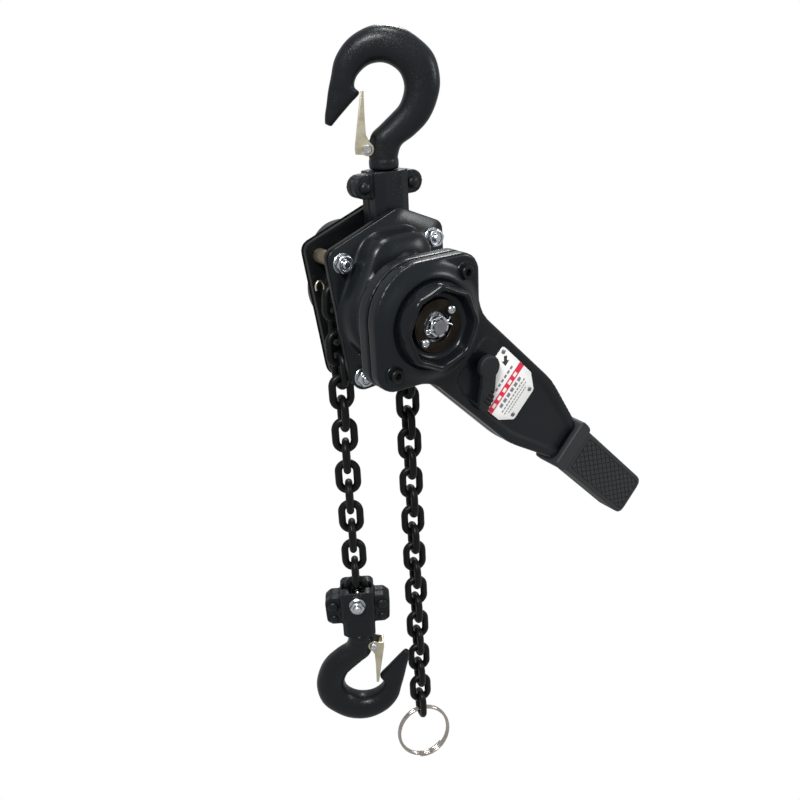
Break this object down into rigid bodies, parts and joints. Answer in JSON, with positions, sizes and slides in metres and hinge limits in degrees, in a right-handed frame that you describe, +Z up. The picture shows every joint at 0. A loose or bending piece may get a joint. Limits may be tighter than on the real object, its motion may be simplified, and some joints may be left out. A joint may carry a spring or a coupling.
{
  "type": "lever chain hoist",
  "caption": "Hand lever hoist: swivel top hook, gear and brake housing with ratchet lever and cup-shaped handwheel, chain over a load sheave to a swivel bottom hook, slack fall with end ring.",
  "frame": {"origin": "saddle of the top hook, the inner top of its bowl, where the hoist hangs", "axes": "+Z up along the line of pull, lever side facing -Y, +X to the right seen from the lever side"},
  "size_m": [0.2816, 0.151, 0.6367],
  "materials": {
    "black_coat": "satin black powder coat",
    "chain_steel": "black oxide",
    "bright_zinc": "bright zinc plate",
    "yellow_zinc": "yellow zinc plate",
    "ground_steel": "ground",
    "nickel": "polished nickel",
    "rubber": "ribbed, matt",
    "plastic": "moulded",
    "white_plate": "printed plate",
    "friction": "friction lining"
  },
  "bodies": {
    "top_hook": {"top_hook": "black_coat", "top_latch_pin": "bright_zinc"},
    "top_latch": {"top_latch": "yellow_zinc"},
    "top_yoke": {"top_yoke_front": "black_coat", "top_yoke_rear": "black_coat", "top_yoke_rivet_left": "black_coat", "top_yoke_rivet_right": "black_coat"},
    "frame": {"side_plate_front": "black_coat", "side_plate_rear": "black_coat", "yoke_pin": "ground_steel", "stay_upper_left": "yellow_zinc", "stay_upper_right": "yellow_zinc", "stay_lower": "yellow_zinc", "cover_stud_lower_left": "bright_zinc", "cover_stud_lower_right": "bright_zinc", "cover_nut_upper_left": "bright_zinc", "cover_nut_upper_right": "bright_zinc", "cover_nut_lower_left": "bright_zinc", "cover_nut_lower_right": "bright_zinc", "brake_cover": "black_coat", "gear_cover": "black_coat", "chain_wrap": "chain_steel"},
    "guide_roller": {"guide_roller": "bright_zinc"},
    "sheave": {"load_sheave": "ground_steel", "load_gear": "ground_steel"},
    "disc_gear_upper": {"disc_gear_upper": "ground_steel"},
    "disc_gear_lower": {"disc_gear_lower": "ground_steel"},
    "pinion": {"pinion_shaft": "ground_steel", "brake_hub": "ground_steel", "friction_disc_inner": "friction", "friction_disc_outer": "friction", "change_gear": "ground_steel", "castle_nut": "bright_zinc", "split_pin": "bright_zinc"},
    "ratchet": {"ratchet_disc": "ground_steel"},
    "brake_pawl": {"brake_pawl": "ground_steel"},
    "handwheel": {"handwheel": "black_coat", "retainer_disc": "black_coat", "retainer_screw_upper": "bright_zinc", "retainer_screw_lower": "bright_zinc"},
    "lever": {"lever_rear_shell": "black_coat", "lever_front_shell": "black_coat", "lever_screw_upper": "black_coat", "lever_screw_lower": "black_coat", "lever_grip": "rubber", "nameplate": "white_plate"},
    "selector": {"selector_knob": "plastic", "selector_pawl": "ground_steel"},
    "hook_strand_top": {"hook_chain_upper": "chain_steel"},
    "hook_strand": {"hook_chain_lower": "chain_steel"},
    "slack_strand_top": {"slack_chain_upper": "chain_steel"},
    "slack_strand": {"slack_chain_lower": "chain_steel"},
    "end_ring": {"end_ring": "nickel"},
    "bottom_yoke": {"bottom_yoke_front": "black_coat", "bottom_yoke_rear": "black_coat", "bottom_yoke_bolt": "bright_zinc", "bottom_yoke_nut": "bright_zinc"},
    "bottom_hook": {"bottom_hook": "black_coat", "bottom_latch_pin": "bright_zinc"},
    "bottom_latch": {"bottom_latch": "yellow_zinc"}
  },
  "joints": [
    {"name": "top_latch_open", "type": "hinge", "parent": "top_hook", "child": "top_latch", "pos_m": [-0.00953, 0.0055, -0.0555], "axis": [0.5, 0.866, 0], "range_deg": [0, 30], "stiffness_Nm_per_rad": 0.2},
    {"name": "top_hook_swivel", "type": "hinge", "parent": "top_hook", "child": "top_yoke", "pos_m": [0, 0, -0.07], "axis": [0, 0, 1], "continuous": true},
    {"name": "frame_swing", "type": "hinge", "parent": "top_yoke", "child": "frame", "pos_m": [0, 0, -0.11], "axis": [0, -1, 0], "range_deg": [-10, 10]},
    {"name": "guide_roller_spin", "type": "hinge", "parent": "frame", "child": "guide_roller", "pos_m": [0.02934, 0, -0.16535], "axis": [0, 1, 0], "continuous": true},
    {"name": "hook_travel", "type": "slide", "parent": "frame", "child": "hook_strand_top", "axis": [0, 0, 1], "range_m": [-0.036, 0.036], "deforming": ["chain_wrap"]},
    {"name": "slack_travel", "type": "slide", "parent": "frame", "child": "slack_strand_top", "axis": [0, 0, 1], "range_m": [-0.0365, 0.0365]},
    {"name": "sheave_spin", "type": "hinge", "parent": "frame", "child": "sheave", "pos_m": [-0.01818, 0, -0.16148], "axis": [0, 1, 0], "range_deg": [-73, 73]},
    {"name": "disc_gear_upper_spin", "type": "hinge", "parent": "frame", "child": "disc_gear_upper", "pos_m": [-0.01367, 0, -0.13588], "axis": [0, 1, 0], "range_deg": [-208, 208]},
    {"name": "disc_gear_lower_spin", "type": "hinge", "parent": "frame", "child": "disc_gear_lower", "pos_m": [-0.00327, 0, -0.18278], "axis": [0, 1, 0], "range_deg": [-208, 208]},
    {"name": "pinion_spin", "type": "hinge", "parent": "frame", "child": "pinion", "pos_m": [-0.01818, 0, -0.16148], "axis": [0, 1, 0], "range_deg": [-592, 592]},
    {"name": "ratchet_spin", "type": "hinge", "parent": "frame", "child": "ratchet", "pos_m": [-0.01818, 0, -0.16148], "axis": [0, 1, 0], "continuous": true},
    {"name": "brake_pawl_lift", "type": "hinge", "parent": "frame", "child": "brake_pawl", "pos_m": [-0.01392, 0, -0.11844], "axis": [0, -1, 0], "range_deg": [0, 12], "stiffness_Nm_per_rad": 0.02},
    {"name": "handwheel_pull", "type": "slide", "parent": "pinion", "child": "handwheel", "axis": [0, -1, 0], "range_m": [0, 0.002], "stiffness_N_per_m": 400},
    {"name": "lever_turn", "type": "hinge", "parent": "frame", "child": "lever", "pos_m": [-0.01818, 0, -0.16148], "axis": [0, -1, 0], "continuous": true},
    {"name": "selector_turn", "type": "hinge", "parent": "lever", "child": "selector", "pos_m": [0.02814, 0, -0.2028], "axis": [0, -1, 0], "range_deg": [0, 90]},
    {"name": "hook_strand_swing", "type": "hinge", "parent": "hook_strand_top", "child": "hook_strand", "pos_m": [-0.04748, 0, -0.21953], "axis": [1, 0, 0], "range_deg": [-5, 5]},
    {"name": "slack_strand_swing", "type": "hinge", "parent": "slack_strand_top", "child": "slack_strand", "pos_m": [0.01112, 0, -0.22583], "axis": [1, 0, 0], "range_deg": [-8, 8]},
    {"name": "end_ring_swing", "type": "hinge", "parent": "slack_strand", "child": "end_ring", "pos_m": [0.01112, 0, -0.56443], "axis": [0.9659, -0.2588, 0], "range_deg": [-30, 40]},
    {"name": "bottom_yoke_tilt", "type": "hinge", "parent": "hook_strand", "child": "bottom_yoke", "pos_m": [-0.04748, 0, -0.41293], "axis": [0.5, 0.866, 0], "range_deg": [-8, 8]},
    {"name": "bottom_hook_swivel", "type": "hinge", "parent": "bottom_yoke", "child": "bottom_hook", "pos_m": [-0.04748, 0, -0.44693], "axis": [0, 0, 1], "continuous": true},
    {"name": "bottom_latch_open", "type": "hinge", "parent": "bottom_hook", "child": "bottom_latch", "pos_m": [-0.03796, -0.0055, -0.46143], "axis": [0.5, 0.866, 0], "range_deg": [0, 30], "stiffness_Nm_per_rad": 0.2}
  ],
  "couplings": [
    {"joint": "slack_travel", "follows": "hook_travel", "ratio": -1},
    {"joint": "sheave_spin", "follows": "hook_travel", "rad_per_m": 34.907},
    {"joint": "disc_gear_upper_spin", "follows": "hook_travel", "rad_per_m": -99.733},
    {"joint": "disc_gear_lower_spin", "follows": "hook_travel", "rad_per_m": -99.733},
    {"joint": "pinion_spin", "follows": "hook_travel", "rad_per_m": 284.95}
  ]
}
